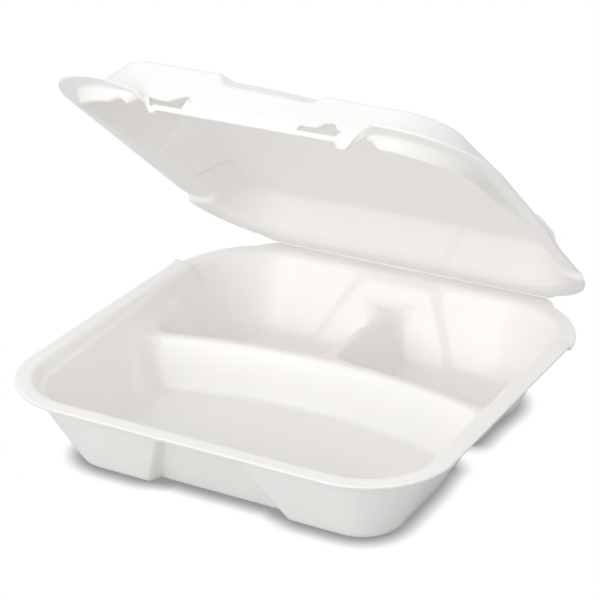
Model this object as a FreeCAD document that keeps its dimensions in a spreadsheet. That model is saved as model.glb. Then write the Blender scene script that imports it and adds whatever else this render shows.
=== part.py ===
# Foam clamshell container: one sheet of expanded polystyrene, thermoformed into a tray with
# three compartments and a domed lid that folds over it on a crease along the back edge.
#
# Millimetres. Origin: centre of the tray's underside. +Z up, -Y front (the tab side), +Y the
# hinge side, +X to the right of someone who faces the front.
import FreeCAD, Part
import Sketcher
import math
import os

# Driving dimensions, in millimetres and degrees. The tray is given by its rim, its lip, the
# ledge inside the lip and its foot. An inset is measured in from the rim's outer edge.
SIZES = {
    "foam_wall": 2.5,
    "rim_half": 117.5,
    "rim_front_radius": 44.5,
    "rim_back_radius": 55.5,
    "rim_level": 45.0,
    "step_drop": 2.7,
    "step_place": 64.0,
    "step_run": 4.0,
    "lip_width": 8.5,
    "seat_run": 3.0,
    "seat_drop": 5.5,
    "throat_inset": 11.0,
    "foot_inset": 29.5,
    "foot_front_radius": 20.0,
    "foot_back_radius": 24.0,
    "panel_top_level": 34.5,
    "panel_top_half": 22.0,
    "panel_foot_half": 38.0,
    "side_panel_place": 16.0,
    "side_panel_top_half": 25.0,
    "side_panel_foot_half": 42.0,
    "panel_recess_top": 4.0,
    "panel_recess_foot": 6.5,
    "side_panel_recess_top": 2.0,
    "side_panel_recess_foot": 2.5,
    "back_panel_top_level": 36.0,
    "back_panel_top_half": 24.0,
    "back_panel_foot_half": 43.0,
    "back_panel_recess": 2.6,
    "divider_level": 29.0,
    "divider_place": 21.0,
    "divider_bow_radius": 310.0,
    "divider_crest_half": 2.8,
    "divider_foot_half": 12.4,
    "short_crest_half": 3.0,
    "short_foot_half": 12.5,
    "groove_crest_half": 0.9,
    "closing_gap": 0.3,
    "seat_clearance": 0.8,
    "hinge_gap": 0.2,
    "hinge_half": 84.0,
    "dome_level": 67.0,
    "dome_inset": 27.0,
    "dome_front_radius": 22.0,
    "dome_back_radius": 28.0,
    "dome_panel_low_half": 19.0,
    "dome_panel_top_half": 29.0,
    "dome_back_low_half": 23.5,
    "dome_back_top_half": 34.0,
    "dome_panel_recess": 5.0,
    "dome_back_recess": 1.5,
    "notch_level": 59.5,
    "notch_low_half": 22.5,
    "notch_top_half": 28.0,
    "notch_recess": 9.0,
    "tab_gap_half": 54.0,
    "slot_place": 40.0,
    "slot_half": 12.5,
    "slot_lip": 2.2,
    "slot_height": 3.4,
    "open_angle": 39.5,
}

# Sizes that follow from the driving ones.
DERIVED = {
    "throat_level": "rim_level - seat_drop - foam_wall",
    "seat_level": "rim_level - seat_drop",
    "seat_inset": "lip_width + seat_run",
    "wall_lean": "(foot_inset - throat_inset) / throat_level",
    "wall_across": "foam_wall * sqrt(1 + wall_lean * wall_lean)",
    "bowl_top_inset": "throat_inset + wall_lean * (throat_level - seat_level) + wall_across",
    "floor_inset": "throat_inset + wall_lean * (throat_level - foam_wall) + wall_across",
    "beyond_rim": "rim_half * 2",
    "cut_width": "rim_half * 3",
    "hinge_level": "rim_level - step_drop + closing_gap / 2",
    "plug_level": "seat_level + seat_clearance",
    "seat_lean": "seat_run / seat_drop",
    "plug_top_inset": "lip_width + seat_clearance",
    "plug_foot_inset": "seat_inset + seat_clearance - (plug_level - seat_level) * seat_lean",
    "dome_lean": "(dome_inset - plug_foot_inset) / (dome_level - plug_level)",
    "dome_across": "foam_wall * sqrt(1 + dome_lean * dome_lean)",
    "notch_inset": "plug_foot_inset + dome_lean * (notch_level - plug_level)",
    "notch_lean": "(dome_inset + notch_recess - notch_inset) / (dome_level - notch_level)",
    "notch_across": "foam_wall * sqrt(1 + notch_lean * notch_lean)",
    "ceiling_level": "dome_level - foam_wall",
    "ceiling_inset": "dome_inset - foam_wall * dome_lean + dome_across",
    "flange_level": "rim_level + closing_gap",
    "flange_top": "flange_level + foam_wall",
}

# How far each wall is turned from the front one, and where its panel is centred along it.
TURNS = {"front": 0, "right": 90, "back": 180, "left": 270}
PANEL_PLACES = {
    "front": "0", "right": "side_panel_place", "back": "0", "left": "-side_panel_place",
}

doc = FreeCAD.newDocument("foam_clamshell")
sheet = doc.addObject("Spreadsheet::Sheet", "Sizes")


def fill_sheet():
    """Write the driving sizes as plain numbers and the derived ones as formulas."""
    row = 1
    for alias, number in SIZES.items():
        sheet.set(f"A{row}", alias)
        sheet.set(f"B{row}", str(number))
        sheet.setAlias(f"B{row}", alias)
        row += 1
    for alias, formula in DERIVED.items():
        sheet.set(f"A{row}", alias)
        sheet.set(f"B{row}", "=" + formula)
        sheet.setAlias(f"B{row}", alias)
        row += 1
    doc.recompute()


def bound(formula):
    """The formula with the sheet's name put before each alias."""
    words = []
    word = ""
    for letter in formula + " ":
        if letter.isalnum() or letter == "_":
            word += letter
            continue
        if word in SIZES or word in DERIVED:
            word = "Sizes." + word
        words.append(word + letter)
        word = ""
    return "".join(words).strip()


def value(formula):
    return float(sheet.evalExpression(bound(formula)))


def plane(body, role):
    for feature in body.Origin.OriginFeatures:
        if feature.Role == role:
            return feature
    raise ValueError(role)


def new_body(label):
    body = doc.addObject("PartDesign::Body", label)
    body.Label = label
    return body


def level_sketch(body, name, level):
    """An empty sketch parallel to the table, at a height given by a formula."""
    sketch = body.newObject("Sketcher::SketchObject", name)
    sketch.AttachmentSupport = [(plane(body, "XY_Plane"), "")]
    sketch.MapMode = "FlatFace"
    sketch.setExpression("AttachmentOffset.Base.z", bound(level))
    return sketch


def side_sketch(body, name):
    """An empty sketch on the container's plane of symmetry: its x is +Y, its y is +Z."""
    sketch = body.newObject("Sketcher::SketchObject", name)
    sketch.AttachmentSupport = [(plane(body, "YZ_Plane"), "")]
    sketch.MapMode = "FlatFace"
    return sketch


def measure(sketch, kind, places, formula):
    """Add a dimension to a sketch and bind it to the sheet."""
    index = sketch.addConstraint(Sketcher.Constraint(kind, *places, value(formula)))
    sketch.setExpression(f"Constraints[{index}]", bound(formula))


def rounded_square(body, name, level, inset, front_radius, back_radius):
    """Outline of the container at one height: a square with two larger corners at the back."""
    sketch = level_sketch(body, name, level)
    half = f"rim_half - ({inset})"
    side = value(half)
    front = value(front_radius)
    back = value(back_radius)
    flat_front = side - front
    flat_back = side - back

    def line(start, end):
        return Part.LineSegment(FreeCAD.Vector(*start, 0), FreeCAD.Vector(*end, 0))

    def corner(centre, radius, first):
        circle = Part.Circle(FreeCAD.Vector(*centre, 0), FreeCAD.Vector(0, 0, 1), radius)
        return Part.ArcOfCircle(circle, first, first + math.pi / 2)

    sketch.addGeometry([
        line((-flat_front, -side), (flat_front, -side)),
        corner((flat_front, -flat_front), front, -math.pi / 2),
        line((side, -flat_front), (side, flat_back)),
        corner((flat_back, flat_back), back, 0),
        line((flat_back, side), (-flat_back, side)),
        corner((-flat_back, flat_back), back, math.pi / 2),
        line((-side, flat_back), (-side, -flat_front)),
        corner((-flat_front, -flat_front), front, math.pi),
    ])
    for index in range(8):
        sketch.addConstraint(Sketcher.Constraint("Tangent", index, 2, (index + 1) % 8, 1))
    sketch.addConstraint(Sketcher.Constraint("Horizontal", 0))
    sketch.addConstraint(Sketcher.Constraint("Horizontal", 4))
    sketch.addConstraint(Sketcher.Constraint("Vertical", 2))
    sketch.addConstraint(Sketcher.Constraint("Vertical", 6))
    sketch.addConstraint(Sketcher.Constraint("Equal", 1, 7))
    sketch.addConstraint(Sketcher.Constraint("Equal", 3, 5))
    measure(sketch, "Radius", [1], front_radius)
    measure(sketch, "Radius", [3], back_radius)
    measure(sketch, "DistanceX", [-1, 1, 2, 1], half)
    measure(sketch, "DistanceX", [6, 1, -1, 1], half)
    measure(sketch, "DistanceY", [0, 1, -1, 1], half)
    measure(sketch, "DistanceY", [-1, 1, 4, 1], half)
    return sketch


def concentric(body, name, level, inset):
    """The rim's own outline drawn in by an inset, so its corners keep their centres."""
    return rounded_square(
        body, name, level, inset, f"rim_front_radius - ({inset})", f"rim_back_radius - ({inset})"
    )


def loft(body, name, sections, cut=False):
    kind = "PartDesign::SubtractiveLoft" if cut else "PartDesign::AdditiveLoft"
    feature = body.newObject(kind, name)
    feature.Profile = sections[0]
    feature.Sections = sections[1:]
    feature.Ruled = True
    feature.Refine = True
    return feature


def wedge(body, name, turn, low, top, cut=False, place="0"):
    """A block with sloping faces, standing on a wall that is turned about the Z axis.

    low and top each give (level, half width, near, far), where near and far are distances
    from the container's centre towards that wall. place is its centre along the wall.
    """
    kind = "PartDesign::SubtractiveWedge" if cut else "PartDesign::AdditiveWedge"
    feature = body.newObject(kind, name)
    feature.AttachmentSupport = [(plane(body, "XY_Plane"), "")]
    feature.MapMode = "FlatFace"
    upright = FreeCAD.Rotation(FreeCAD.Vector(1, 0, 0), 90)
    about = FreeCAD.Rotation(FreeCAD.Vector(0, 0, 1), turn)
    feature.AttachmentOffset = FreeCAD.Placement(FreeCAD.Vector(), about.multiply(upright))
    formulas = {
        "Ymin": low[0], "Zmin": low[2], "Zmax": low[3],
        "Xmin": f"{place} - ({low[1]})", "Xmax": f"{place} + ({low[1]})",
        "Ymax": top[0], "Z2min": top[2], "Z2max": top[3],
        "X2min": f"{place} - ({top[1]})", "X2max": f"{place} + ({top[1]})",
    }
    for prop, formula in formulas.items():
        setattr(feature, prop, value(formula))
        feature.setExpression(prop, bound(formula))
    return feature


def polygon(sketch, corners):
    """Closed straight-sided outline whose corners are pairs of formulas."""
    points = [FreeCAD.Vector(value(across), value(along), 0) for across, along in corners]
    count = len(points)
    for index in range(count):
        sketch.addGeometry(Part.LineSegment(points[index], points[(index + 1) % count]))
    for index in range(count):
        sketch.addConstraint(Sketcher.Constraint("Coincident", index, 2, (index + 1) % count, 1))
    for index, (across, along) in enumerate(corners):
        place(sketch, "DistanceX", index, across)
        place(sketch, "DistanceY", index, along)


def place(sketch, kind, index, formula):
    """Bind one coordinate of a corner, measured from the origin."""
    if value(formula) < 0:
        measure(sketch, kind, [index, 1, -1, 1], f"-({formula})")
    else:
        measure(sketch, kind, [-1, 1, index, 1], formula)


def pocket_across(body, name, sketch):
    """Cut a side outline away across the whole width of the container."""
    feature = body.newObject("PartDesign::Pocket", name)
    feature.Profile = sketch
    feature.Midplane = True
    feature.setExpression("Length", bound("cut_width"))
    return feature


def bowed_strip(body, name, level, half_width, half_length):
    """Plan of the long divider: a strip between two arcs that bow towards the hinge."""
    sketch = level_sketch(body, name, level)
    centre = value("divider_place - divider_bow_radius")
    near_arc = f"divider_bow_radius - ({half_width})"
    far_arc = f"divider_bow_radius + ({half_width})"
    radii = [value(near_arc), value(far_arc)]
    reach = value(half_length)
    for radius in radii:
        turn = math.asin(reach / radius)
        circle = Part.Circle(FreeCAD.Vector(0, centre, 0), FreeCAD.Vector(0, 0, 1), radius)
        sketch.addGeometry(Part.ArcOfCircle(circle, math.pi / 2 - turn, math.pi / 2 + turn))
    ends = [[], []]
    for index, radius in enumerate(radii):
        rise = centre + math.sqrt(radius * radius - reach * reach)
        ends[index] = [FreeCAD.Vector(reach, rise, 0), FreeCAD.Vector(-reach, rise, 0)]
    sketch.addGeometry(Part.LineSegment(ends[0][0], ends[1][0]))
    sketch.addGeometry(Part.LineSegment(ends[0][1], ends[1][1]))
    for line_index, arc_end in ((2, 1), (3, 2)):
        sketch.addConstraint(Sketcher.Constraint("Coincident", line_index, 1, 0, arc_end))
        sketch.addConstraint(Sketcher.Constraint("Coincident", line_index, 2, 1, arc_end))
        sketch.addConstraint(Sketcher.Constraint("Vertical", line_index))
    sketch.addConstraint(Sketcher.Constraint("Coincident", 0, 3, 1, 3))
    sketch.addConstraint(Sketcher.Constraint("PointOnObject", 0, 3, -2))
    measure(sketch, "DistanceY", [0, 3, -1, 1], "divider_bow_radius - divider_place")
    measure(sketch, "Radius", [0], near_arc)
    measure(sketch, "Radius", [1], far_arc)
    measure(sketch, "DistanceX", [-1, 1, 2, 1], half_length)
    measure(sketch, "DistanceX", [3, 1, -1, 1], half_length)
    return sketch


def stepped_rim(body, name, low, high):
    """The rim as a flat plate whose back part lies lower, with a short ramp between."""
    outline = concentric(body, name + "_outline", f"{low} - step_drop", "0")
    slab = body.newObject("PartDesign::Pad", name + "_slab")
    slab.Profile = outline
    slab.setExpression("Length", bound(f"({high}) - ({low}) + step_drop"))
    strip = level_sketch(body, name + "_hinge_outline", f"{low} - step_drop")
    polygon(strip, [
        ("-hinge_half", "rim_half - lip_width"), ("hinge_half", "rim_half - lip_width"),
        ("hinge_half", "rim_half"), ("-hinge_half", "rim_half"),
    ])
    hinge = body.newObject("PartDesign::Pad", name + "_hinge_strip")
    hinge.Profile = strip
    hinge.setExpression("Length", bound(f"({high}) - ({low}) + step_drop"))
    ramp_end = "step_place + step_run"
    above = side_sketch(body, name + "_above_back")
    polygon(above, [
        ("step_place", high), (ramp_end, f"{high} - step_drop"),
        ("beyond_rim", f"{high} - step_drop"), ("beyond_rim", f"{high} + foam_wall"),
        ("step_place", f"{high} + foam_wall"),
    ])
    pocket_across(body, name + "_back_lowered", above)
    below = side_sketch(body, name + "_below_front")
    polygon(below, [
        ("step_place", low), ("-beyond_rim", low),
        ("-beyond_rim", f"{low} - step_drop - foam_wall"),
        (ramp_end, f"{low} - step_drop - foam_wall"), (ramp_end, f"{low} - step_drop"),
    ])
    pocket_across(body, name + "_front_raised", below)


def crease_clearance(body, name, low, high):
    """Draw the back edge in by a hair along the crease, so the halves turn freely."""
    wedge(
        body, name, TURNS["back"],
        (low, "beyond_rim", "rim_half - hinge_gap", "rim_half + foam_wall"),
        (high, "beyond_rim", "rim_half - hinge_gap", "rim_half + foam_wall"),
        cut=True,
    )


def tray_panel(side):
    """Which sizes a wall's panel takes: the front one is deep, the others wide and shallow."""
    panel = {
        "top_level": "panel_top_level",
        "top_half": "panel_top_half", "foot_half": "panel_foot_half",
        "top_recess": "panel_recess_top", "foot_recess": "panel_recess_foot",
    }
    if side in ("left", "right"):
        panel.update({
            "top_half": "side_panel_top_half", "foot_half": "side_panel_foot_half",
            "top_recess": "side_panel_recess_top", "foot_recess": "side_panel_recess_foot",
        })
    if side == "back":
        panel.update({
            "top_level": "back_panel_top_level",
            "top_half": "back_panel_top_half", "foot_half": "back_panel_foot_half",
            "top_recess": "back_panel_recess", "foot_recess": "back_panel_recess",
        })
    return panel


def wall_at(level):
    """How far the wall's outer face stands from the centre at a level."""
    return f"rim_half - throat_inset - wall_lean * (throat_level - {level})"


def make_tray():
    body = new_body("base_tray")
    stepped_rim(body, "lip", "rim_level - foam_wall", "rim_level")
    crease_clearance(body, "crease_edge", "seat_level - foam_wall", "rim_level + foam_wall")

    # Outer form: the turned-down inner edge of the lip, then the walls down to the foot.
    neck_top = concentric(body, "neck_top", "rim_level - step_drop", "lip_width - foam_wall / 2")
    neck_foot = concentric(body, "neck_foot", "throat_level", "seat_inset - foam_wall / 2")
    loft(body, "neck", [neck_top, neck_foot])
    wall_top = concentric(body, "wall_top", "throat_level", "throat_inset")
    wall_foot = rounded_square(
        body, "wall_foot", "0", "foot_inset", "foot_front_radius", "foot_back_radius"
    )
    loft(body, "walls", [wall_top, wall_foot])

    # Inner form: the ledge under the lip, then the bowl down to the floor.
    mouth_top = concentric(body, "mouth_top", "rim_level", "lip_width")
    mouth_foot = concentric(body, "mouth_foot", "seat_level", "seat_inset")
    loft(body, "mouth", [mouth_top, mouth_foot], cut=True)
    bowl_top = concentric(body, "bowl_top", "seat_level", "bowl_top_inset")
    bowl_floor = rounded_square(
        body, "bowl_floor", "foam_wall", "floor_inset",
        "foot_front_radius - wall_across / 2", "foot_back_radius - wall_across / 2"
    )
    loft(body, "bowl", [bowl_top, bowl_floor], cut=True)

    # A trapezoid panel is pressed into each wall: it bulges inside and is hollow outside.
    for side, turn in TURNS.items():
        panel = tray_panel(side)
        top_wall = wall_at(panel["top_level"])
        foot_wall = "rim_half - foot_inset"
        wedge(
            body, side + "_panel_bulge", turn,
            (
                "0", f"{panel['foot_half']} + foam_wall",
                f"{foot_wall} - {panel['foot_recess']} - wall_across", f"{foot_wall} - foam_wall / 2",
            ),
            (
                f"{panel['top_level']} + foam_wall", f"{panel['top_half']} + foam_wall",
                f"{top_wall} + foam_wall * wall_lean - {panel['top_recess']} - wall_across",
                f"{top_wall} + foam_wall * wall_lean - foam_wall / 2",
            ),
            place=PANEL_PLACES[side],
        )
    for side, turn in TURNS.items():
        panel = tray_panel(side)
        wedge(
            body, side + "_panel_hollow", turn,
            ("0", panel["foot_half"], f"rim_half - foot_inset - {panel['foot_recess']}", "rim_half"),
            (
                panel["top_level"], panel["top_half"],
                f"{wall_at(panel['top_level'])} - {panel['top_recess']}", "rim_half",
            ),
            cut=True, place=PANEL_PLACES[side],
        )

    # Dividers: hollow ridges pressed up out of the floor, open underneath.
    crest_wall = wall_at("divider_level")
    top_reach = f"{crest_wall} - side_panel_recess_top - foam_wall"
    foot_reach = "rim_half - foot_inset - side_panel_recess_foot - foam_wall / 2"
    ridge_foot = bowed_strip(body, "ridge_foot", "foam_wall / 2", "divider_foot_half", foot_reach)
    ridge_crest = bowed_strip(body, "ridge_crest", "divider_level", "divider_crest_half", top_reach)
    loft(body, "long_divider", [ridge_foot, ridge_crest])
    back_foot = "rim_half - foot_inset - back_panel_recess - foam_wall / 2"
    back_top = f"{crest_wall} - back_panel_recess - foam_wall / 2"
    wedge(
        body, "short_divider", TURNS["back"],
        ("foam_wall / 2", "short_foot_half", "divider_place", back_foot),
        ("divider_level", "short_crest_half", "divider_place", back_top),
    )
    groove_foot = bowed_strip(
        body, "groove_foot", "0", "divider_foot_half - foam_wall", "rim_half - foot_inset + foam_wall"
    )
    groove_crest = bowed_strip(
        body, "groove_crest", "divider_level - foam_wall", "groove_crest_half",
        "rim_half - throat_inset"
    )
    loft(body, "long_groove", [groove_foot, groove_crest], cut=True)
    wedge(
        body, "short_groove", TURNS["back"],
        ("0", "short_foot_half - foam_wall", "divider_place", "rim_half - foot_inset + foam_wall"),
        (
            "divider_level - foam_wall", "groove_crest_half", "divider_place",
            "rim_half - throat_inset",
        ),
        cut=True,
    )
    return body


def dome_panel(side):
    """Which sizes a panel of the lid takes."""
    shallow = side == "back"
    return {
        "low_half": "dome_back_low_half" if shallow else "dome_panel_low_half",
        "top_half": "dome_back_top_half" if shallow else "dome_panel_top_half",
        "recess": "dome_back_recess" if shallow else "dome_panel_recess",
    }


def make_lid():
    """The lid is drawn closed over the tray, then turned up about the crease."""
    body = new_body("lid")
    stepped_rim(body, "flange", "flange_level", "flange_top")
    crease_clearance(body, "lid_crease_edge", "seat_level", "flange_top + foam_wall")

    # Outer form: the plug that drops inside the tray's lip, and the dome above it.
    collar_level = "flange_level - step_drop"
    collar_inset = "plug_top_inset + seat_lean * step_drop"
    plug_top = concentric(body, "plug_top", collar_level, collar_inset)
    plug_foot = concentric(body, "plug_foot", "plug_level", "plug_foot_inset")
    loft(body, "plug", [plug_foot, plug_top])
    collar_foot = concentric(body, "collar_foot", collar_level, collar_inset)
    collar_top = concentric(body, "collar_top", "flange_top", "plug_top_inset")
    loft(body, "collar", [collar_foot, collar_top])
    dome_foot = concentric(body, "dome_foot", "plug_level", "plug_foot_inset")
    dome_top = rounded_square(
        body, "dome_top", "dome_level", "dome_inset", "dome_front_radius", "dome_back_radius"
    )
    loft(body, "dome", [dome_foot, dome_top])

    # Inner form: the inside of the dome, open downwards.
    inside_foot = concentric(body, "inside_foot", "plug_level", "plug_foot_inset + dome_across")
    inside_top = rounded_square(
        body, "inside_top", "ceiling_level", "ceiling_inset",
        "dome_front_radius - dome_across / 2", "dome_back_radius - dome_across / 2"
    )
    loft(body, "inside", [inside_foot, inside_top], cut=True)

    # Trapezoid panels as on the tray, here wider towards the top of the dome.
    low_wall = "rim_half - plug_foot_inset - dome_lean * (flange_top - plug_level)"
    top_wall = "rim_half - dome_inset"
    sides = ("right", "back", "left")
    for side in sides:
        panel = dome_panel(side)
        turn = TURNS[side]
        wedge(
            body, side + "_dome_bulge", turn,
            (
                "flange_top", f"{panel['low_half']} + foam_wall",
                f"{low_wall} - foam_wall * 1.5", f"{low_wall} - foam_wall / 2",
            ),
            (
                "dome_level", f"{panel['top_half']} + foam_wall",
                f"{top_wall} - {panel['recess']} - dome_across", f"{top_wall} - foam_wall / 2",
            ),
            place=PANEL_PLACES[side],
        )
    for side in sides:
        panel = dome_panel(side)
        turn = TURNS[side]
        wedge(
            body, side + "_dome_hollow", turn,
            ("flange_top", panel["low_half"], low_wall, "rim_half"),
            (
                "dome_level + foam_wall", panel["top_half"],
                f"{top_wall} - foam_wall * dome_lean - {panel['recess']}", "rim_half",
            ),
            cut=True, place=PANEL_PLACES[side],
        )

    # Front: the dome's top edge is pressed in at the middle, as a broad sloping notch.
    wedge(
        body, "notch_bulge", TURNS["front"],
        (
            "notch_level - foam_wall", "notch_low_half + foam_wall",
            "rim_half - notch_inset - notch_across + notch_lean * foam_wall",
            "rim_half - notch_inset + dome_lean * foam_wall - foam_wall / 2",
        ),
        (
            "dome_level", "notch_top_half + foam_wall",
            f"{top_wall} - notch_recess - notch_across", f"{top_wall} - foam_wall / 2",
        ),
    )
    wedge(
        body, "notch_hollow", TURNS["front"],
        ("notch_level", "notch_low_half", "rim_half - notch_inset", "rim_half"),
        (
            "dome_level + foam_wall", "notch_top_half",
            f"{top_wall} - notch_recess - notch_lean * foam_wall", "rim_half",
        ),
        cut=True,
    )

    # Front: no flange between the tabs, where the wall runs straight down, and two slots.
    cut_level = "plug_level - foam_wall"
    cut_inset = "plug_foot_inset - dome_lean * foam_wall"
    wedge(
        body, "tab_gap", TURNS["front"],
        (cut_level, "tab_gap_half", f"rim_half - ({cut_inset})", "rim_half + foam_wall"),
        ("dome_level", "tab_gap_half", "rim_half - dome_inset", "rim_half + foam_wall"),
        cut=True,
    )
    slot_low = "plug_level + slot_lip"
    for sign, name in ((-1, "left_slot"), (1, "right_slot")):
        slot = level_sketch(body, name + "_outline", slot_low)
        inner = f"{sign} * (slot_place - slot_half)"
        outer = f"{sign} * (slot_place + slot_half)"
        polygon(slot, [
            (inner, "-rim_half"), (outer, "-rim_half"),
            (outer, "-(rim_half - dome_inset)"), (inner, "-(rim_half - dome_inset)"),
        ])
        feature = body.newObject("PartDesign::Pocket", name)
        feature.Profile = slot
        feature.Reversed = True
        feature.setExpression("Length", bound("slot_height"))

    # Turned up about the crease to the angle it stands open at.
    body.setExpression("Placement.Rotation.Angle", bound("-open_angle"))
    body.Placement.Rotation = FreeCAD.Rotation(FreeCAD.Vector(1, 0, 0), -SIZES["open_angle"])
    cosine = "cos(open_angle * 1deg)"
    sine = "sin(open_angle * 1deg)"
    body.setExpression(
        "Placement.Base.y", bound(f"rim_half * (1 - {cosine}) - hinge_level * {sine}")
    )
    body.setExpression(
        "Placement.Base.z", bound(f"hinge_level * (1 - {cosine}) + rim_half * {sine}")
    )
    return body


def check(nodes):
    """Stop if any object failed or a node isn't one valid solid."""
    for item in doc.Objects:
        if "Invalid" in item.State or "Error" in item.State:
            raise ValueError(f"{item.Name} failed: {item.State}")
    for node in nodes:
        shape = node.Shape
        if shape.isNull() or not shape.isValid() or len(shape.Solids) != 1:
            raise ValueError(f"{node.Label} is not one valid solid")


fill_sheet()
nodes = [make_tray(), make_lid()]
doc.recompute()
check(nodes)
os.makedirs("parts", exist_ok=True)
for node in nodes:
    node.Shape.exportStep(f"parts/{node.Label}.step")
    box = node.Shape.BoundBox
    print(
        f"{node.Label}: {node.Shape.Volume / 1000:.1f} cm3,",
        f"x {box.XMin:.1f} to {box.XMax:.1f}, y {box.YMin:.1f} to {box.YMax:.1f},",
        f"z {box.ZMin:.1f} to {box.ZMax:.1f}",
    )
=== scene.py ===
import bmesh
import bpy
import math
from mathutils import Matrix, Vector


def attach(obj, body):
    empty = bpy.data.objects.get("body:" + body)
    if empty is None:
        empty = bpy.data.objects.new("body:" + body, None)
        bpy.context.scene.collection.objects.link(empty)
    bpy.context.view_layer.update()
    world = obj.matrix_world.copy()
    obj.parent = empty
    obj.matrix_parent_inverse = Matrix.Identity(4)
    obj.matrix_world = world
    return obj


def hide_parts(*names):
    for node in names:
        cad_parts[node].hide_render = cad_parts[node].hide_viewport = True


# Foam clamshell container, open on a table: a tray with three compartments and a domed lid,
# both thermoformed from one sheet. Lengths below are millimetres and become metres in the
# meshes. +Z is up, -Y is the front, +Y is the hinge side.
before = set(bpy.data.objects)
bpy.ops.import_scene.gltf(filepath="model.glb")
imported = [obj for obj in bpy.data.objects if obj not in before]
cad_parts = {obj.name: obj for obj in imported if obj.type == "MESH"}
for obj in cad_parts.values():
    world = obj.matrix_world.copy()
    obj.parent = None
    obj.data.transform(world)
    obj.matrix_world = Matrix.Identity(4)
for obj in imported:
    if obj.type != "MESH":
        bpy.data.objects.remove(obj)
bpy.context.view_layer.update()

MM = 0.001

# Rim of both halves, seen from above: a square with larger corners at the back.
RIM_HALF = 117.5
RIM_CORNER_FRONT = 44.5
RIM_CORNER_BACK = 55.5
STEP_DROP = 2.7
STEP_START = 63.5
STEP_END = 67.5
STEP_NOSE = 0.9
CREASE_HALF = 84.0
CREASE_END = 91.0
CREASE_Y = 117.3
# How far in from the edge the lip is drawn out to the crease.
CREASE_REACH = 8.5
# The corner of a ring, seen from its side: how much of its radius the middle of the arc loses.
ARC_LOSS = 0.2146

# Grid that both halves are drawn from: square rings from the centre out to the edge.
RINGS = 100

# Tray.
SHEET = 2.5
TRAY_FOOT_CORNER_FRONT = 20.0
TRAY_FOOT_CORNER_BACK = 24.0
LEDGE_FRONT_Y = -90.0
LEDGE_BACK_Y = 45.0
PLUG_BACK_Y = 8.0

# Dividers.
DIVIDER_LEVEL = 29.0
DIVIDER_PLACE = 21.0
DIVIDER_BOW = 310.0
DIVIDER_CREST_HALF = 2.8
DIVIDER_FOOT_HALF = 12.4
SHORT_CREST_HALF = 2.4
SHORT_FOOT_HALF = 13.5
CREST_WALL = 97.0
LONG_END_FILLET = 8.0
SHORT_END_FILLET = 16.0
JUNCTION_FILLET = 12.0

# Lid, drawn closed.
DOME_LEVEL = 67.0
DOME_CORNER_FRONT = 22.0
DOME_CORNER_BACK = 20.0
DOME_WIDER_BACK = 2.2
DOME_SAG = 3.0
FLANGE_PINCH = 2.6
OPEN_ANGLE = 39.5
CREASE_LEVEL = 42.45

# Between the tabs the lid's front wall is a single sheet. The plug starts at PLUG_START, and
# the flange grows out of it to its full width from the first place to the second.
PLUG_START = (58.5, 66.0)
LEFT_FLANGE = (63.0, 79.0)
RIGHT_FLANGE = (64.5, 69.0)
FLANGE_ROOT = 10.8
# The two slots: lower edge, the grid row of the upper edge, and the level above which the
# wall is left as it is. Each slot has its ends, and a line of (x, level) for its upper edge.
SLOT_LOW = 42.0
SLOT_HIGH = 45.4
SLOT_CALM = 53.0
LEFT_SLOT = [
    (-55.0, 45.0), (-46.5, 45.2), (-41.0, 49.4), (-38.0, 49.8), (-36.0, 47.6), (-35.0, 45.4),
]
RIGHT_SLOT = [
    (26.0, 44.8), (36.4, 44.9), (40.5, 48.4), (44.5, 49.4), (46.4, 48.0), (47.6, 45.4),
]

# Beside each slot the sheet's lower edge drops in a tooth: its depth, then where it begins,
# is full, stays full and ends. Beyond it the edge rises in an arch: rise, centre and width.
TEETH = [(2.2, 51.0, 54.0, 58.6, 61.4), (1.4, -61.5, -59.0, -57.0, -54.0)]
ARCHES = [(2.8, -69.0, 3.6), (2.6, 65.0, 2.6)]
# The tabs' faces swell a little further out.
SWELL = 0.8
SWELL_PLACES = (-76.0, 75.0)
SWELL_WIDTH = 6.0
# How far in the front wall leans for each millimetre up.
WALL_LEAN = 0.567
# Length over which a panel's depth fades on the floor or the dome's top.
PANEL_FADE = 26.0

# The pressed panel of each wall. low and high are its foot and top level; at each it has a
# half width and a depth. place is its centre along the wall, and run the width of its edges.
TRAY_PANELS = {
    "front": {
        "place": 0.0, "low": 0.0, "high": 34.5, "foot": 38.0, "top": 21.5,
        "deep_foot": 6.5, "deep_top": 4.0, "run": 3.4,
    },
    "right": {
        "place": 16.0, "low": 0.0, "high": 34.5, "foot": 42.0, "top": 25.0,
        "deep_foot": 1.9, "deep_top": 1.5, "run": 7.0,
    },
    "back": {
        "place": 0.0, "low": 0.0, "high": 43.0, "foot": 43.1, "top": 21.7,
        "deep_foot": 2.8, "deep_top": 2.8, "run": 5.5,
    },
    "left": {
        "place": 16.0, "low": 0.0, "high": 34.5, "foot": 42.0, "top": 25.0,
        "deep_foot": 1.9, "deep_top": 1.5, "run": 7.0,
    },
}
LID_PANELS = {
    "front": {
        "place": 0.0, "low": 59.5, "high": 67.0, "foot": 22.7, "top": 28.0,
        "deep_foot": 0.0, "deep_top": 9.0, "run": 2.4,
    },
    "right": {
        "place": 16.0, "low": 47.8, "high": 67.0, "foot": 18.0, "top": 29.0,
        "deep_foot": 0.0, "deep_top": 5.0, "run": 3.4,
    },
    "back": {
        "place": 0.0, "low": 45.0, "high": 66.0, "foot": 23.5, "top": 34.5,
        "deep_foot": 1.8, "deep_top": 1.8, "run": 4.5,
    },
    "left": {
        "place": 16.0, "low": 47.8, "high": 67.0, "foot": 18.0, "top": 29.0,
        "deep_foot": 0.0, "deep_top": 5.0, "run": 3.4,
    },
}


def clamp(value):
    return min(max(value, 0.0), 1.0)


def mix(first, second, part):
    return first + (second - first) * part


def ease(start, end, value):
    """0 before start, 1 after end, and a soft S between."""
    part = clamp((value - start) / (end - start))
    return part * part * (3.0 - 2.0 * part)


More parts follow.
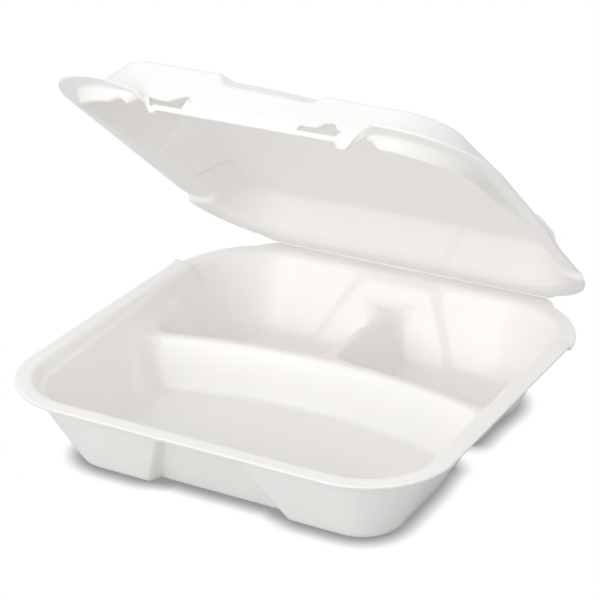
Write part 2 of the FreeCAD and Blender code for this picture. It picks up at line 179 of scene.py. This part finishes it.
def soft_max(first, second, reach):
    """The higher of two levels, with a fillet where they meet."""
    part = max(reach - abs(first - second), 0.0) / reach
    return max(first, second) + reach * part * part / 4.0


def soft_min(first, second, reach):
    return -soft_max(-first, -second, reach)


def fillet_flare(radius, distance):
    """How much a rib is wider this far from the wall it runs into, with a round fillet."""
    if distance >= radius:
        return 0.0
    return radius - math.sqrt(radius ** 2 - (radius - max(distance, 0.0)) ** 2)


def along_line(line, x):
    """Level of a bent line at x, level beyond its ends."""
    for first, second in zip(line, line[1:]):
        if x <= second[0]:
            return mix(first[1], second[1], clamp((x - first[0]) / (second[0] - first[0])))
    return line[-1][1]


def hill(centre, width, value):
    return math.exp(-((value - centre) / width) ** 2)


def section(corners):
    """Points along a bent line, from the edge inwards.

    Each corner is (inset, level, fillet, steps): the steps run from the last corner to this
    one, and a fillet above 0 rounds it in three more.
    """
    points = [Vector(corners[0][:2])]
    left_at = points[0]
    for index in range(1, len(corners)):
        corner = Vector(corners[index][:2])
        fillet = corners[index][2]
        steps = corners[index][3]
        arrive = corner
        leave = corner
        if fillet > 0.0:
            before = (left_at - corner).normalized()
            after = (Vector(corners[index + 1][:2]) - corner).normalized()
            turn = math.pi - before.angle(after)
            cut = fillet * math.tan(turn / 2.0)
            arrive = corner + before * cut
            leave = corner + after * cut
        for step in range(1, steps + 1):
            points.append(left_at.lerp(arrive, step / steps))
        if fillet > 0.0:
            for step in range(1, 4):
                part = step / 3.0
                points.append(arrive.lerp(corner, part).lerp(corner.lerp(leave, part), part))
        left_at = leave
    return points


# Each surface has one section where its ledge is deep, at the front, and one where it is
# shallow, at the back. The lid has a third one between its tabs, where it has no flange.
TRAY_INSIDE = (
    section([
        (0.0, 44.3, 0, 0), (0.0, 45.0, 0.8, 1), (8.6, 45.0, 2.8, 6), (12.3, 39.0, 1.0, 4),
        (14.6, 38.4, 0.8, 1), (31.0, 2.5, 6.5, 23), (38.0, 2.5, 0, 1),
    ]),
    section([
        (0.0, 44.3, 0, 0), (0.0, 45.0, 0.8, 1), (7.8, 45.0, 5.5, 6), (9.7, 44.25, 3.0, 4),
        (11.2, 42.8, 2.0, 1), (31.0, 2.5, 6.5, 23), (38.0, 2.5, 0, 1),
    ]),
)
TRAY_OUTSIDE = (
    section([
        (0.0, 44.2, 0, 0), (0.0, 43.6, 0.5, 1), (6.6, 42.6, 1.2, 6), (10.6, 36.6, 2.0, 5),
        (29.4, 0.0, 3.0, 26), (34.0, 0.0, 0, 1),
    ]),
    section([
        (0.0, 44.2, 0, 0), (0.0, 43.6, 0.5, 1), (7.4, 42.6, 1.2, 6), (9.0, 40.0, 1.0, 5),
        (29.4, 0.0, 3.0, 26), (34.0, 0.0, 0, 1),
    ]),
)
LID_INSIDE = (
    section([
        (0.0, 46.1, 0, 0), (0.0, 45.5, 0.5, 1), (9.4, 45.4, 1.6, 6), (13.2, 39.8, 0.9, 3),
        (15.6, 39.8, 0.9, 1), (28.5, 64.5, 5.0, 20), (34.0, 64.5, 0, 2),
    ]),
    section([
        (0.0, 46.1, 0, 0), (0.0, 45.5, 0.5, 1), (7.0, 45.9, 2.0, 6), (11.5, 46.6, 2.0, 3),
        (15.6, 48.6, 3.0, 1), (28.5, 64.5, 5.0, 20), (34.0, 64.5, 0, 2),
    ]),
    section([
        (14.4, 39.3, 0, 0), (15.4, 39.6, 0.5, 1), (16.3, SLOT_LOW, 0, 7), (17.6, SLOT_HIGH, 0, 4),
        (19.7, 49.0, 0, 6), (28.5, 64.5, 5.0, 21), (34.0, 64.5, 0, 3),
    ]),
)
LID_OUTSIDE = (
    section([
        (0.0, 46.2, 0, 0), (0.0, 46.9, 0.6, 1), (15.4, 47.6, 2.5, 12), (27.0, DOME_LEVEL, 3.0, 24),
        (32.0, DOME_LEVEL, 0, 2),
    ]),
    section([
        (0.0, 46.2, 0, 0), (0.0, 46.9, 0.6, 1), (14.6, 48.6, 4.0, 12), (27.0, DOME_LEVEL, 3.0, 24),
        (32.0, DOME_LEVEL, 0, 2),
    ]),
    section([
        (14.2, 39.3, 0, 0), (13.2, 39.6, 0.5, 1), (13.7, SLOT_LOW, 0, 3), (15.0, SLOT_HIGH, 0, 4),
        (16.4, 48.0, 0, 5), (27.0, DOME_LEVEL, 3.0, 27), (32.0, DOME_LEVEL, 0, 2),
    ]),
)


def corner_size(inset, rim_corner, top_inset, foot_inset, foot_corner):
    """Corner radius of the ring at an inset: concentric at the lip, then eased to the foot's."""
    if inset <= top_inset:
        return rim_corner - inset
    part = clamp((inset - top_inset) / (foot_inset - top_inset))
    return mix(rim_corner - top_inset, foot_corner, part)


def along_side(index, ring, half, corner, knot_index, knot_place, hold):
    """Where a grid column stands on one side of a ring, as (along, back from the side).

    Columns up to knot_index end at knot_place where hold is 1, so that an edge of the panel
    follows one column. The rest are spread evenly to the middle of the corner's arc.
    """
    flat = half - corner
    length = flat + corner * math.pi / 4.0
    place = length * index / ring
    if hold > 0.0 and knot_index < ring:
        if index <= knot_index:
            held = knot_place * index / knot_index
        else:
            spread = (index - knot_index) / (ring - knot_index)
            held = mix(knot_place, length, spread)
        place = mix(place, held, hold)
    if place <= flat:
        return place, 0.0
    angle = (place - flat) / max(corner, 0.001)
    return flat + corner * math.sin(angle), corner * (1.0 - math.cos(angle))


def panel_reach(panel, level):
    """0 at the panel's foot and below, 1 at its top and above."""
    return clamp((level - panel["low"]) / (panel["high"] - panel["low"]))


def on_ring(column, row, ring, half, corners, panels, spacing, hold, level):
    """Plan position of a grid vertex on its ring, and the name of the side it is on."""
    if ring == 0:
        return 0.0, 0.0, "front"
    if abs(row) >= abs(column):
        side = "front" if row < 0 else "back"
        panel = panels[side]
        edge = mix(panel["foot"], panel["top"], panel_reach(panel, level))
        corner = corners[0] if row < 0 else corners[1]
        knot = max(round(panel["foot"] / spacing), 1)
        along, back = along_side(abs(column), ring, half, corner, knot, edge, hold)
        x = math.copysign(along, column)
        y = (half - back) * (-1.0 if row < 0 else 1.0)
        return x, y, side
    side = "left" if column < 0 else "right"
    panel = panels[side]
    towards = -1.0 if row < 0 else 1.0
    corner = corners[0] if row < 0 else corners[1]
    width = mix(panel["foot"], panel["top"], panel_reach(panel, level))
    edge = width + towards * panel["place"]
    knot = max(round((panel["foot"] + towards * panel["place"]) / spacing), 1)
    along, back = along_side(abs(row), ring, half, corner, knot, edge, hold)
    y = along * towards
    x = (half - back) * (-1.0 if column < 0 else 1.0)
    return x, y, side


def pressed_in(x, y, side, panel, level, fade):
    """The position moved inwards by the panel of its wall."""
    if side in ("front", "back"):
        across = x - panel["place"]
    else:
        across = y - panel["place"]
    reach = panel_reach(panel, level)
    edge = mix(panel["foot"], panel["top"], reach)
    deep = mix(panel["deep_foot"], panel["deep_top"], reach)
    slant = clamp((edge - abs(across)) / panel["run"] + 0.5)
    amount = deep * mix(slant, ease(0.0, 1.0, slant), 0.4) * fade
    if side == "front":
        return x, y + amount
    if side == "back":
        return x, y - amount
    if side == "left":
        return x + amount, y
    return x - amount, y


def divider_centre(x):
    return DIVIDER_PLACE - DIVIDER_BOW + math.sqrt(DIVIDER_BOW ** 2 - x * x)


def squeeze(distance, reach):
    """Draws grid lines together near distance 0, and leaves them beyond the reach."""
    if abs(distance) >= reach:
        return distance
    return distance * (0.5 + 0.5 * abs(distance) / reach)


def gathered(x, y, level):
    """Grid lines moved along the dividers, so that their edges come out crisp."""
    low = 1.0 - ease(30.0, 38.0, level)
    if low <= 0.0:
        return x, y
    middle = 16.0
    width = 45.0 if y < middle else 36.0
    near = 1.0 - ease(0.0, width, abs(y - middle))
    centre = divider_centre(min(abs(x), 100.0))
    bent = y + (centre - middle) * near * low
    bent = mix(bent, centre + squeeze(bent - centre, 30.0), low)
    behind = ease(centre + 3.0, centre + 20.0, bent) * low
    return mix(x, squeeze(x, 28.0), behind), bent


def ridge(x, y, sheet):
    """Level of the dividers' surface over a place. sheet is 0 for the top of the sheet, and
    its thickness for the underside, which is as much narrower and lower."""
    level = DIVIDER_LEVEL - sheet
    base = SHEET - sheet
    slim = sheet * 0.9
    out = math.hypot(x, y - DIVIDER_PLACE + DIVIDER_BOW) - DIVIDER_BOW
    flare = fillet_flare(LONG_END_FILLET, CREST_WALL - abs(x))
    slope = (DIVIDER_LEVEL - SHEET) / (DIVIDER_FOOT_HALF - DIVIDER_CREST_HALF)
    flank = base + slope * (DIVIDER_FOOT_HALF + flare - slim - abs(out))
    long_one = soft_min(flank, level, 3.0)
    if out < 0.0:
        return long_one
    flare = fillet_flare(JUNCTION_FILLET, out - DIVIDER_CREST_HALF)
    flare += fillet_flare(SHORT_END_FILLET, CREST_WALL - y)
    slope = (DIVIDER_LEVEL - SHEET) / (SHORT_FOOT_HALF - SHORT_CREST_HALF)
    flank = base + slope * (SHORT_FOOT_HALF + flare - slim - abs(x))
    short_one = soft_min(flank, level, 3.0)
    return soft_max(long_one, short_one, 1.0)


def ledge_part(y, back_y):
    """0 where the ledge is deep, at the front, and 1 where it has run out, towards the back."""
    return min(max((y - LEDGE_FRONT_Y) / (back_y - LEDGE_FRONT_Y), -0.1), 1.0)


def rim_step(y):
    return ease(STEP_START, STEP_END, y)


def rim_nose(x, y, inset):
    """Rise of the rounded nose at the top of the rim's ramp, on the left, in both halves."""
    if x >= 0.0 or inset >= 6.0:
        return 0.0
    return STEP_NOSE * hill(STEP_START - 1.0, 4.0, y) * (1.0 - inset / 6.0)


def tray_place(column, row, inside):
    """Place of one grid vertex on the tray's upper or lower surface."""
    ring = max(abs(column), abs(row))
    sheet = 0.0 if inside else SHEET
    sections = TRAY_INSIDE if inside else TRAY_OUTSIDE
    foot_inset = 31.0 if inside else 29.4
    top_inset = 12.5 if inside else 11.0
    foot_corner_front = TRAY_FOOT_CORNER_FRONT - 1.4 * inside
    foot_corner_back = TRAY_FOOT_CORNER_BACK - 1.4 * inside
    station = RINGS - ring
    last = len(sections[0]) - 1
    spacing = (RIM_HALF - sections[0][last].x) / (RINGS - last)
    # A first guess of the place gives how deep the ledge is there.
    guess_y = row / RINGS * RIM_HALF if abs(row) < ring else math.copysign(RIM_HALF, row)
    part = ledge_part(guess_y, LEDGE_BACK_Y)
    if station <= last:
        inset = mix(sections[0][station].x, sections[1][station].x, part)
        level = mix(sections[0][station].y, sections[1][station].y, part)
        half = RIM_HALF - inset
        corners = (
            corner_size(inset, RIM_CORNER_FRONT, top_inset, foot_inset, foot_corner_front),
            corner_size(inset, RIM_CORNER_BACK, top_inset, foot_inset, foot_corner_back),
        )
    else:
        level = sections[0][last].y
        inset = sections[0][last].x
        half = (RIM_HALF - inset) * ring / (RINGS - last)
        round_off = ease(0.45, 1.0, ring / (RINGS - last))
        corners = (foot_corner_front * round_off, foot_corner_back * round_off)
    hold = ease(0.5, 1.0, ring / (RINGS - last)) * (1.0 - ease(38.0, 44.0, level))
    x, y, side = on_ring(column, row, ring, half, corners, TRAY_PANELS, spacing, hold, level)
    if level < 40.0:
        x, y = gathered(x, y, level)
    panel = TRAY_PANELS[side]
    fade = 1.0 - ease(panel["high"] - 1.5, panel["high"] + 1.5, level)
    if station > last:
        fade *= clamp(1.0 - (RIM_HALF - inset - half) / PANEL_FADE)
    x, y = pressed_in(x, y, side, panel, level, fade)
    if level < 36.0:
        level = soft_max(level, ridge(x, y, sheet), 6.0)
    # The rim's back part lies lower, beyond a short ramp that starts with a rounded nose.
    upper = clamp((level - 20.0) / 20.0)
    level -= STEP_DROP * rim_step(y) * upper
    level += rim_nose(x, y, inset)
    return x, y, level, inset if station <= last else RIM_HALF


def to_crease(x, y, inset):
    """The rim's back edge runs straight out to the ends of the crease, past its corners."""
    if y < 100.0 or inset > CREASE_REACH:
        return y
    straight = (1.0 - ease(CREASE_HALF, CREASE_END, abs(x))) * (1.0 - inset / CREASE_REACH)
    return mix(y, CREASE_Y - inset * (1.0 - inset / CREASE_REACH), straight)


def flange_edge(x):
    """Inset of the flange's edge along the front: its root between the tabs, 0 at full width."""
    start, end = LEFT_FLANGE if x < 0.0 else RIGHT_FLANGE
    return FLANGE_ROOT * (1.0 - ease(start, end, abs(x)))


def front_edge(x, level, inset):
    """The front wall's lower edge with its teeth, arches and swellings, and the slots' upper
    edges, which rise to a peak towards one end."""
    low = clamp((44.5 - level) / 4.5)
    tooth = 0.0
    for depth, begin, full, stay, end in TEETH:
        tooth += depth * ease(begin, full, x) * (1.0 - ease(stay, end, x))
    arch = sum(rise * hill(centre, width, x) for rise, centre, width in ARCHES)
    swell = SWELL * sum(hill(centre, SWELL_WIDTH, x) for centre in SWELL_PLACES)
    inset += low * (0.9 * tooth - swell)
    level += low * (arch - tooth)
    for line in (LEFT_SLOT, RIGHT_SLOT):
        if line[0][0] <= x <= line[-1][0] and SLOT_LOW < level < SLOT_CALM:
            top = along_line(line, x)
            if level <= SLOT_HIGH:
                moved = mix(SLOT_LOW, top, (level - SLOT_LOW) / (SLOT_HIGH - SLOT_LOW))
            else:
                moved = mix(top, SLOT_CALM, (level - SLOT_HIGH) / (SLOT_CALM - SLOT_HIGH))
            inset += (moved - level) * WALL_LEAN
            level = moved
    return level, inset


def lid_place(column, row, inside):
    """Place of one grid vertex on the lid's inner or outer surface, with the lid closed."""
    ring = max(abs(column), abs(row))
    sections = LID_INSIDE if inside else LID_OUTSIDE
    foot_inset = 28.5 if inside else 27.0
    top_inset = 14.5 if inside else 12.0
    top_corner_front = DOME_CORNER_FRONT - 1.4 * inside
    top_corner_back = DOME_CORNER_BACK - 1.4 * inside
    station = RINGS - ring
    last = len(sections[0]) - 1
    spacing = (RIM_HALF - sections[0][last].x) / (RINGS - last)
    guess_y = row / RINGS * RIM_HALF if abs(row) < ring else math.copysign(RIM_HALF, row)
    part = ledge_part(guess_y, PLUG_BACK_Y)
    if station <= last:
        inset = mix(sections[0][station].x, sections[1][station].x, part)
        level = mix(sections[0][station].y, sections[1][station].y, part)
        if row == -ring:
            # Between the tabs the wall runs straight down to a thin edge.
            guess = column / ring * (RIM_HALF - inset - ARC_LOSS * (RIM_CORNER_FRONT - inset))
            edge = flange_edge(guess)
            inset = edge + inset * (1.0 - edge / 12.0) if inset < 12.0 else inset
            gap = 1.0 - ease(*PLUG_START, abs(guess))
            inset = mix(inset, sections[2][station].x, gap)
            level = mix(level, sections[2][station].y, gap)
            level, inset = front_edge(guess, level, inset)
        half = RIM_HALF - inset
        corners = (
            corner_size(inset, RIM_CORNER_FRONT, top_inset, foot_inset, top_corner_front),
            corner_size(inset, RIM_CORNER_BACK, top_inset, foot_inset, top_corner_back),
        )
    else:
        level = sections[0][last].y
        inset = sections[0][last].x
        half = (RIM_HALF - inset) * ring / (RINGS - last)
        round_off = ease(0.45, 1.0, ring / (RINGS - last))
        corners = (top_corner_front * round_off, top_corner_back * round_off)
    outer_level = level + SHEET if inside else level
    hold = ease(0.5, 1.0, ring / (RINGS - last)) * ease(50.0, 55.0, level)
    x, y, side = on_ring(column, row, ring, half, corners, LID_PANELS, spacing, hold, outer_level)
    panel = LID_PANELS[side]
    fade = ease(panel["low"] - 1.0, panel["low"] + 1.5, outer_level)
    if station > last:
        fade *= clamp(1.0 - (RIM_HALF - inset - half) / PANEL_FADE)
    x, y = pressed_in(x, y, side, panel, outer_level, fade)
    upper = clamp((60.0 - level) / 14.0)
    level += rim_nose(x, y, inset) - STEP_DROP * rim_step(y) * upper
    # The soft sheet isn't quite true: the dome is wider at the back, sags at its front right
    # corner, and the flange is drawn in along the right.
    rise = clamp((level - 47.6) / (DOME_LEVEL - 47.6))
    x += math.copysign(DOME_WIDER_BACK, x) * ease(5.0, 45.0, y) * rise * clamp(abs(x) / 90.0)
    level -= DOME_SAG * rise * ease(-25.0, 55.0, x) * (1.0 - ease(-75.0, 0.0, y))
    if inset < 9.0 and x > 60.0:
        pinch = ease(-12.0, 34.0, y) * (1.0 - ease(STEP_START - 2.0, STEP_END, y))
        x -= FLANGE_PINCH * pinch * (1.0 - inset / 9.0)
    return x, y, level, inset if station <= last else RIM_HALF


def open_lid(x, y, level):
    """A place on the closed lid, turned up about the crease to where the lid stands open."""
    back = y - RIM_HALF
    rise = level - CREASE_LEVEL
    turn = math.radians(OPEN_ANGLE)
    y = RIM_HALF + math.cos(turn) * back + math.sin(turn) * rise
    level = CREASE_LEVEL - math.sin(turn) * back + math.cos(turn) * rise
    return x, y, level


def two_sided_shell(place, stand):
    """Two grids, one for each face of the sheet, and their vertices by (inside, column, row)."""
    shell = bmesh.new()
    vertices = {}
    for inside in (True, False):
        made = bmesh.ops.create_grid(
            shell, x_segments=2 * RINGS, y_segments=2 * RINGS, size=RINGS
        )
        for vertex in made["verts"]:
            column = round(vertex.co.x)
            row = round(vertex.co.y)
            vertices[inside, column, row] = vertex
            x, y, level, inset = place(column, row, inside)
            y = to_crease(x, y, inset)
            vertex.co = Vector(stand(x, y, level)) * MM
    return shell, vertices


def close_shell(shell, name, material, body):
    """Join the open edges, turn the faces outwards and make the object."""
    rims = [edge for edge in shell.edges if edge.is_boundary]
    bmesh.ops.bridge_loops(shell, edges=rims)
    bmesh.ops.recalc_face_normals(shell, faces=shell.faces)
    for face in shell.faces:
        face.smooth = True
    mesh = bpy.data.meshes.new(name)
    shell.to_mesh(mesh)
    shell.free()
    mesh.materials.append(material)
    piece = bpy.data.objects.new(name, mesh)
    bpy.context.scene.collection.objects.link(piece)
    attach(piece, body)
    return piece


def cut_slots(shell, vertices):
    """Open the two slots in the lid's front wall through both faces of the sheet."""
    slots = []
    for line in (LEFT_SLOT, RIGHT_SLOT):
        doomed = set()
        for inside in (True, False):
            sections = LID_INSIDE if inside else LID_OUTSIDE
            low = min(range(30), key=lambda index: abs(sections[2][index].y - SLOT_LOW))
            high = min(range(30), key=lambda index: abs(sections[2][index].y - SLOT_HIGH))
            middle_row = -(RINGS - (low + high) // 2)
            columns = [
                column for column in range(middle_row, -middle_row + 1)
                if line[0][0] <= vertices[inside, column, middle_row].co.x / MM <= line[-1][0]
            ]
            for column in range(min(columns), max(columns)):
                for row in range(-(RINGS - low), -(RINGS - high)):
                    corners = [
                        vertices[inside, column, row], vertices[inside, column + 1, row],
                        vertices[inside, column + 1, row + 1], vertices[inside, column, row + 1],
                    ]
                    doomed |= set.intersection(*[set(corner.link_faces) for corner in corners])
        slots.append(doomed)
    for doomed in slots:
        before = {edge for edge in shell.edges if edge.is_boundary}
        bmesh.ops.delete(shell, geom=list(doomed), context="FACES")
        opened = [edge for edge in shell.edges if edge.is_boundary and edge not in before]
        bmesh.ops.bridge_loops(shell, edges=opened)


def linear(code):
    """An sRGB hex colour as linear values with full alpha."""
    channels = []
    for place in (0, 2, 4):
        value = int(code[place:place + 2], 16) / 255.0
        if value <= 0.04045:
            channels.append(value / 12.92)
        else:
            channels.append(((value + 0.055) / 1.055) ** 2.4)
    return (*channels, 1.0)


def add_node(tree, kind, settings=None, **links):
    """A node with its settings, and its inputs set to a value or linked from a socket."""
    node = tree.nodes.new(kind)
    for name, value in (settings or {}).items():
        setattr(node, name, value)
    for name, value in links.items():
        socket = node.inputs[name.replace("_", " ")]
        if isinstance(value, bpy.types.NodeSocket):
            tree.links.new(value, socket)
        else:
            socket.default_value = value
    return node


def thermoformed_foam():
    """Expanded polystyrene sheet with a pressed skin: white, softly glossy, and translucent.

    Fine flattened cells show as a faint bump, and the skin waves a little from the mould.
    """
    material = bpy.data.materials.new("thermoformed_polystyrene_foam")
    material.use_nodes = True
    tree = material.node_tree
    tree.nodes.clear()
    coords = add_node(tree, "ShaderNodeTexCoord")
    place = coords.outputs["Object"]
    # 1 / 0.0009 m: cells about 0.9 mm across, drawn coarser than the real ones so they show.
    cells = add_node(
        tree, "ShaderNodeTexVoronoi", {"feature": "SMOOTH_F1"}, Vector=place, Scale=1100.0
    )
    # 1 / 0.025 m: slow waves in the skin.
    waves = add_node(tree, "ShaderNodeTexNoise", Vector=place, Scale=40.0, Detail=2.0)
    # 1 / 0.006 m: small mottling between them.
    mottle = add_node(tree, "ShaderNodeTexNoise", Vector=place, Scale=160.0, Detail=3.0)
    tint = add_node(tree, "ShaderNodeMix", {"data_type": "RGBA"})
    tree.links.new(mottle.outputs["Fac"], tint.inputs["Factor"])
    tint.inputs["A"].default_value = linear("f9f7f4")
    tint.inputs["B"].default_value = linear("fcfaf7")
    gloss = add_node(
        tree, "ShaderNodeMapRange", Value=waves.outputs["Fac"], From_Min=0.3, From_Max=0.7,
        To_Min=0.3, To_Max=0.36
    )
    fine = add_node(
        tree, "ShaderNodeBump", Height=cells.outputs["Distance"], Strength=0.05, Distance=0.0001
    )
    slow = add_node(
        tree, "ShaderNodeBump", Height=waves.outputs["Fac"], Strength=0.3, Distance=0.0002,
        Normal=fine.outputs["Normal"]
    )
    skin = add_node(
        tree, "ShaderNodeBsdfPrincipled", Base_Color=tint.outputs["Result"],
        Roughness=gloss.outputs["Result"], Normal=slow.outputs["Normal"], IOR=1.5
    )
    skin.inputs["Subsurface Weight"].default_value = 0.35
    skin.inputs["Subsurface Radius"].default_value = (1.0, 0.95, 0.9)
    skin.inputs["Subsurface Scale"].default_value = 0.003
    output = add_node(tree, "ShaderNodeOutputMaterial")
    tree.links.new(skin.outputs["BSDF"], output.inputs["Surface"])
    return material


def camera():
    """The photograph's view: from the front right, a little above."""
    turn = math.radians(29.28)
    lift = math.radians(24.44)
    roll = math.radians(-0.577)
    back = Vector((
        math.sin(turn) * math.cos(lift), -math.cos(turn) * math.cos(lift), math.sin(lift)
    ))
    right = Vector((math.cos(turn), math.sin(turn), 0.0))
    up = back.cross(right)
    rolled_right = right * math.cos(roll) + up * math.sin(roll)
    rolled_up = up * math.cos(roll) - right * math.sin(roll)
    lens = bpy.data.cameras.new("camera")
    lens.lens = 121.7
    lens.sensor_width = 36.0
    lens.clip_end = 50.0
    view = bpy.data.objects.new("camera", lens)
    frame_axes = Matrix((rolled_right, rolled_up, back)).transposed()
    view.matrix_world = Matrix.Translation((0.45114, -0.80976, 0.49238)) @ frame_axes.to_4x4()
    bpy.context.scene.collection.objects.link(view)
    bpy.context.scene.camera = view


def lamp(name, place, aim, width, height, power):
    """A rectangular soft light."""
    light = bpy.data.lights.new(name, "AREA")
    light.shape = "RECTANGLE"
    light.size = width
    light.size_y = height
    light.energy = power
    holder = bpy.data.objects.new(name, light)
    holder.location = place
    holder.rotation_euler = (Vector(aim) - Vector(place)).to_track_quat("-Z", "Y").to_euler()
    bpy.context.scene.collection.objects.link(holder)


def studio():
    """White table with a painted contact shadow around the object's foot, white backdrop, soft
    lights in front and above, and even light all round.
    """
    scene = bpy.context.scene
    scene.view_settings.view_transform = "Standard"
    world = bpy.data.worlds.new("studio")
    scene.world = world
    world.use_nodes = True
    tree = world.node_tree
    tree.nodes.clear()
    path = add_node(tree, "ShaderNodeLightPath")
    even = add_node(tree, "ShaderNodeBackground", Color=linear("ffffff"), Strength=0.8)
    white = add_node(tree, "ShaderNodeBackground", Color=linear("ffffff"), Strength=1.0)
    seen = add_node(tree, "ShaderNodeMixShader", Fac=path.outputs["Is Camera Ray"])
    tree.links.new(even.outputs["Background"], seen.inputs[1])
    tree.links.new(white.outputs["Background"], seen.inputs[2])
    output = add_node(tree, "ShaderNodeOutputWorld")
    tree.links.new(seen.outputs["Shader"], output.inputs["Surface"])

    lamp("front_softbox", (-0.5, -2.2, 1.1), (0, 0, 0.06), 1.8, 1.4, 21.0)
    lamp("top_softbox", (0.2, 0.4, 2.4), (0, 0, 0.06), 1.6, 1.6, 2.5)

    table = bmesh.new()
    bmesh.ops.create_grid(table, x_segments=1, y_segments=1, size=6.0)
    mesh = bpy.data.meshes.new("table")
    table.to_mesh(mesh)
    table.free()
    floor = bpy.data.objects.new("table", mesh)
    scene.collection.objects.link(floor)
    material = bpy.data.materials.new("white_table")
    material.use_nodes = True
    tree = material.node_tree
    tree.nodes.clear()
    # To the camera the table glows white, and ambient occlusion dims the glow into a painted
    # contact shadow close around the object's foot.
    path = add_node(tree, "ShaderNodeLightPath")
    paint = add_node(tree, "ShaderNodeBsdfDiffuse", Color=linear("d2d2d2"))
    painted_shadow_occlusion = add_node(tree, "ShaderNodeAmbientOcclusion", {"samples": 12}, Distance=0.011)
    level = add_node(
        tree, "ShaderNodeMapRange", Value=painted_shadow_occlusion.outputs["AO"], From_Min=0.3, From_Max=0.85,
        To_Min=0.3, To_Max=1.0
    )
    glow_with_painted_shadow = add_node(
        tree, "ShaderNodeEmission", Color=linear("ffffff"), Strength=level.outputs["Result"]
    )
    seen = add_node(tree, "ShaderNodeMixShader", Fac=path.outputs["Is Camera Ray"])
    tree.links.new(paint.outputs["BSDF"], seen.inputs[1])
    tree.links.new(glow_with_painted_shadow.outputs["Emission"], seen.inputs[2])
    output = add_node(tree, "ShaderNodeOutputMaterial")
    tree.links.new(seen.outputs["Shader"], output.inputs["Surface"])
    mesh.materials.append(material)


def crease_bead(material):
    """The crease: the sheet pressed thin, a fine rounded line along the hinge."""
    bead = bmesh.new()
    turn = Matrix.Rotation(math.pi / 2.0, 4, "Y")
    bmesh.ops.create_cone(
        bead, cap_ends=True, segments=12, radius1=0.6 * MM, radius2=0.6 * MM,
        depth=2.0 * (CREASE_HALF - 1.0) * MM,
        matrix=Matrix.Translation(Vector((0.0, RIM_HALF - 0.4, CREASE_LEVEL - 0.35)) * MM) @ turn,
    )
    for face in bead.faces:
        face.smooth = len(face.verts) == 4
    mesh = bpy.data.meshes.new("crease")
    bead.to_mesh(mesh)
    bead.free()
    mesh.materials.append(material)
    piece = bpy.data.objects.new("crease", mesh)
    bpy.context.scene.collection.objects.link(piece)
    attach(piece, "tray")


camera()
foam = thermoformed_foam()

tray_shell, _ = two_sided_shell(tray_place, lambda x, y, z: (x, y, z))
tray = close_shell(tray_shell, "tray_shell", foam, "tray")
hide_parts("base_tray")

lid_shell, lid_vertices = two_sided_shell(lid_place, open_lid)
cut_slots(lid_shell, lid_vertices)
lid = close_shell(lid_shell, "lid_shell", foam, "lid")
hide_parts("lid")

crease_bead(foam)
studio()
